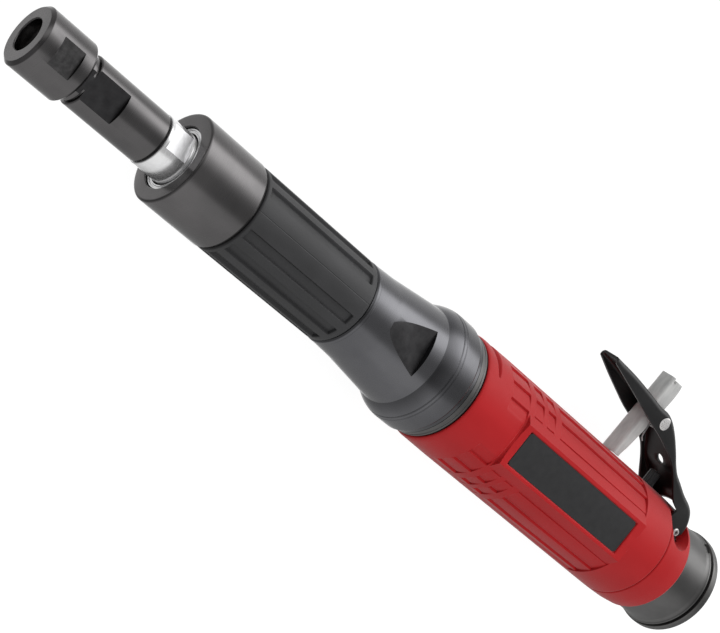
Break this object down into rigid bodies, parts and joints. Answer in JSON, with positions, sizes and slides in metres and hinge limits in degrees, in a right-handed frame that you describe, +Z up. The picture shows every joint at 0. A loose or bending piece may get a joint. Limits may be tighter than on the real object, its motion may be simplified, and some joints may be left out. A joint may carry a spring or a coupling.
{
  "type": "die grinder",
  "caption": "Extended-nose pneumatic die grinder: collet and spindle, rubber grip, tapered clamp housing, red handle, hinged throttle lever with lock-off lever, rear air inlet.",
  "frame": {"origin": "bottom centre of the bounding box, on the surface that the tool lies on", "axes": "+X along the spindle from the collet to the air inlet, +Y towards the throttle lever, +Z up through the blank name plate"},
  "size_m": [0.3956, 0.0914, 0.0506],
  "materials": {
    "gunmetal_steel": "dark turned steel with fine machining lines",
    "collet_steel": "ground, slit",
    "ground_steel": "bright ground",
    "bearing_steel": "polished",
    "spring_steel": "drawn wire",
    "satin_grey": "satin dark grey",
    "grip_rubber": "moulded matte rubber with long pockets",
    "red_handle": "moulded, fine-grained, with raised tread strips",
    "label_black": "blank black plate",
    "cast_aluminium": "cast and machined",
    "motor_steel": "machined",
    "vane_composite": "laminated phenolic",
    "valve_brass": "turned",
    "plunger_black": "ribbed nylon",
    "muffler_felt": "pressed felt",
    "fitting_steel": "plated",
    "lever_black": "satin black over pressed steel",
    "pin_chrome": "polished",
    "lock_steel": "satin pressed steel"
  },
  "bodies": {
    "housing": {"extension_housing": "gunmetal_steel", "grip_sleeve": "grip_rubber", "clamp_housing": "satin_grey", "clamp_ring": "satin_grey", "bearing_retainer": "ground_steel", "rear_snap_ring": "spring_steel", "front_bearing_outer_race": "bearing_steel", "rear_bearing_outer_race": "bearing_steel", "motor_front_bearing_outer_race": "bearing_steel", "motor_rear_bearing_outer_race": "bearing_steel", "front_end_plate": "motor_steel", "rear_end_plate": "motor_steel", "motor_cylinder": "motor_steel", "motor_case": "motor_steel", "handle_sleeve": "red_handle", "handle_rear_ring": "red_handle", "label_plate": "label_black", "throttle_body": "cast_aluminium", "exhaust_ring": "satin_grey", "muffler": "muffler_felt", "inlet_bushing": "fitting_steel", "inlet_screen": "fitting_steel", "valve_bushing": "valve_brass", "valve_spring": "spring_steel", "lever_pin": "pin_chrome"},
    "spindle": {"spindle": "ground_steel", "collet_nut": "gunmetal_steel", "collet": "collet_steel", "spindle_extension": "gunmetal_steel", "drive_coupling": "motor_steel", "rotor": "motor_steel", "vane_1": "vane_composite", "vane_2": "vane_composite", "vane_3": "vane_composite", "vane_4": "vane_composite", "front_bearing_inner_race": "bearing_steel", "rear_bearing_inner_race": "bearing_steel", "motor_front_bearing_inner_race": "bearing_steel", "motor_rear_bearing_inner_race": "bearing_steel"},
    "bearing_balls": {"front_bearing_ball_set": "bearing_steel", "rear_bearing_ball_set": "bearing_steel", "motor_front_bearing_ball_set": "bearing_steel", "motor_rear_bearing_ball_set": "bearing_steel"},
    "throttle_lever": {"throttle_lever": "lever_black", "lock_rivet": "pin_chrome", "lock_spring": "spring_steel"},
    "lock_lever": {"lock_lever": "lock_steel"},
    "plunger": {"throttle_plunger": "plunger_black", "valve_ball": "bearing_steel"}
  },
  "joints": [
    {"name": "spindle_spin", "type": "hinge", "parent": "housing", "child": "spindle", "pos_m": [0, -0.02045, 0.0253], "axis": [1, 0, 0], "continuous": true},
    {"name": "bearing_balls_spin", "type": "hinge", "parent": "housing", "child": "bearing_balls", "pos_m": [0, -0.02045, 0.0253], "axis": [1, 0, 0], "continuous": true},
    {"name": "throttle_lever_press", "type": "hinge", "parent": "housing", "child": "throttle_lever", "pos_m": [0.165, -0.00405, 0.0253], "axis": [0, 0, 1], "range_deg": [0, 15], "stiffness_Nm_per_rad": 2, "springref_deg": -11.46},
    {"name": "lock_lever_fold", "type": "hinge", "parent": "throttle_lever", "child": "lock_lever", "pos_m": [0.1243, 0.02725, 0.0253], "axis": [0, 0, -1], "range_deg": [0, 70.1], "deforming": ["lock_spring"]},
    {"name": "plunger_slide", "type": "slide", "parent": "housing", "child": "plunger", "axis": [0, -1, 0], "range_m": [0, 0.0046], "deforming": ["valve_spring"]}
  ],
  "couplings": [
    {"joint": "bearing_balls_spin", "follows": "spindle_spin", "ratio": 0.425},
    {"joint": "lock_lever_fold", "follows": "throttle_lever_press", "ratio": 4.6667},
    {"joint": "plunger_slide", "follows": "throttle_lever_press", "m_per_rad": 0.0175}
  ]
}
